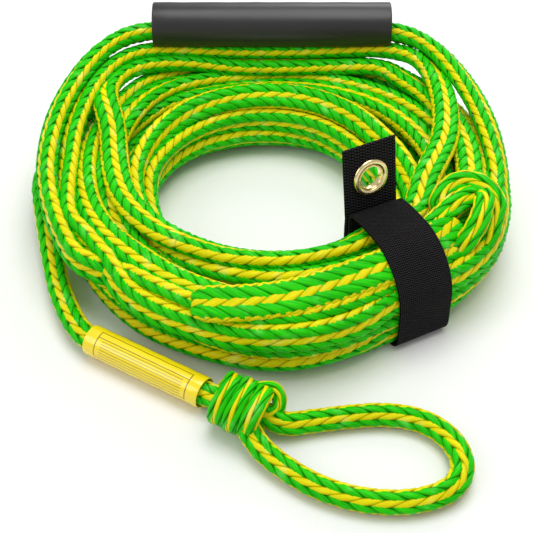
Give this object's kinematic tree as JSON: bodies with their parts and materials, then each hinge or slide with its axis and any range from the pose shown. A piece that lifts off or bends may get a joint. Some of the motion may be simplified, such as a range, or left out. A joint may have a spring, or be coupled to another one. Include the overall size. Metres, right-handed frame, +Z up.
{
  "type": "coiled tow rope with a grip sleeve",
  "caption": "Flattened braided tow line wound in a storage coil, with a grip sleeve on its outer turn, knotted end loops and a webbing strap with a grommet tab.",
  "frame": {"origin": "centre of the footprint of the coil with its front loop, on the surface it lies on", "axes": "+Z up, +Y from the front end loop towards the grip sleeve, +X along the grip sleeve to the right"},
  "size_m": [0.3822, 0.4747, 0.123],
  "materials": {
    "line": "green and yellow hollow braid of polypropylene, satin",
    "knots": "green and yellow hollow braid of polypropylene, drawn tight",
    "grip": "satin",
    "label_film": "glossy shrunk film",
    "webbing": "matte woven",
    "hook_tape": "napped and hooked tape",
    "grommet_brass": "polished"
  },
  "bodies": {
    "coil": {"coil_bundle": "line", "handle_turn": "line", "tucked_loop": "line", "side_knot": "knots", "strap_band": "webbing", "hook_patch": "hook_tape"},
    "handle": {"handle_sleeve": "grip"},
    "strap_layer": {"strap_inner_run": "webbing", "loop_patch": "hook_tape"},
    "tab": {"strap_tab": "webbing", "grommet_flange": "grommet_brass", "grommet_washer": "grommet_brass"},
    "tail": {"tail_lead": "line", "label_sleeve": "label_film", "front_knot": "knots", "front_knot_end": "knots"},
    "loop": {"front_loop": "line"}
  },
  "joints": [
    {"name": "handle_spin", "type": "hinge", "parent": "coil", "child": "handle", "pos_m": [0.00315, 0.21785, 0.0885], "axis": [1, 0, 0], "continuous": true},
    {"name": "strap_peel", "type": "hinge", "parent": "coil", "child": "strap_layer", "pos_m": [0.07528, -0.00966, 0.0042], "axis": [-0.8829, -0.4695, 0], "range_deg": [0, 50]},
    {"name": "tab_flex", "type": "hinge", "parent": "strap_layer", "child": "tab", "pos_m": [0.07528, -0.00966, 0.0678], "axis": [-0.8829, -0.4695, 0], "range_deg": [-35, 35]},
    {"name": "tail_swing", "type": "hinge", "parent": "coil", "child": "tail", "pos_m": [-0.18285, 0.07185, 0.029], "axis": [0, 0, 1], "range_deg": [-50, 0]},
    {"name": "loop_swing", "type": "hinge", "parent": "tail", "child": "loop", "pos_m": [-0.01685, -0.15915, 0.0206], "axis": [0, 0, 1], "range_deg": [-35, 0]}
  ]
}
